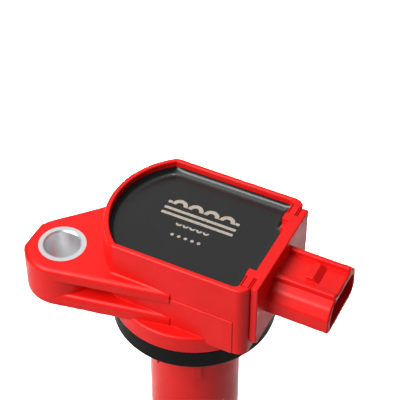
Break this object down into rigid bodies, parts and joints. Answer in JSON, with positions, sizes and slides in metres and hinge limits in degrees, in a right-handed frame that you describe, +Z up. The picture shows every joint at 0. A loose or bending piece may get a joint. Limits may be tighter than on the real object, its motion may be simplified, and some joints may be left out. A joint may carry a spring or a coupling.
{
  "type": "ignition coil",
  "caption": "Coil-on-plug ignition coil: moulded head with a bolt ear and a side connector, slim barrel, and a rubber boot with a sprung contact.",
  "frame": {"origin": "centre of the boot's mouth, on the barrel's axis", "axes": "+Z up along the barrel's axis to the head's rim, +X towards the connector; the ear lies towards -X and -Y"},
  "size_m": [0.0736, 0.0429, 0.15],
  "materials": {
    "red_plastic": "satin",
    "potting_resin": "satin",
    "barrel_resin": "matte",
    "aluminium": "satin",
    "black_rubber": "matte",
    "tinned_brass": "satin",
    "electrical_steel": "satin",
    "magnet": "matte",
    "bobbin_plastic": "matte",
    "copper_wire": "enamelled",
    "chip_package": "matte",
    "ceramic": "matte",
    "tower_plastic": "matte",
    "capacitor_film": "dipped"
  },
  "bodies": {
    "coil_body": {"head_housing": "red_plastic", "connector_insert": "red_plastic", "barrel_case": "red_plastic", "potting_epoxy": "potting_resin", "barrel_potting": "barrel_resin", "compression_limiter": "aluminium", "igniter_heat_sink": "aluminium", "seal_ring": "black_rubber", "plug_boot": "black_rubber", "core_buffers": "black_rubber", "terminal_pins": "tinned_brass", "lead_frame": "tinned_brass", "igniter_leads": "tinned_brass", "high_tension_terminal": "tinned_brass", "outer_core": "electrical_steel", "centre_core": "electrical_steel", "contact_spring": "electrical_steel", "core_magnets": "magnet", "primary_bobbin": "bobbin_plastic", "secondary_bobbin": "bobbin_plastic", "high_tension_tower": "tower_plastic", "primary_winding": "copper_wire", "secondary_winding": "copper_wire", "primary_leads": "copper_wire", "igniter_module": "chip_package", "high_voltage_diode": "chip_package", "suppression_resistor": "ceramic", "noise_capacitor": "capacitor_film"},
    "spring_end": {"spring_contact": "tinned_brass"}
  },
  "joints": [
    {"name": "contact_travel", "type": "slide", "parent": "coil_body", "child": "spring_end", "axis": [0, 0, 1], "range_m": [0, 0.005], "stiffness_N_per_m": 600, "deforming": ["contact_spring"]}
  ]
}
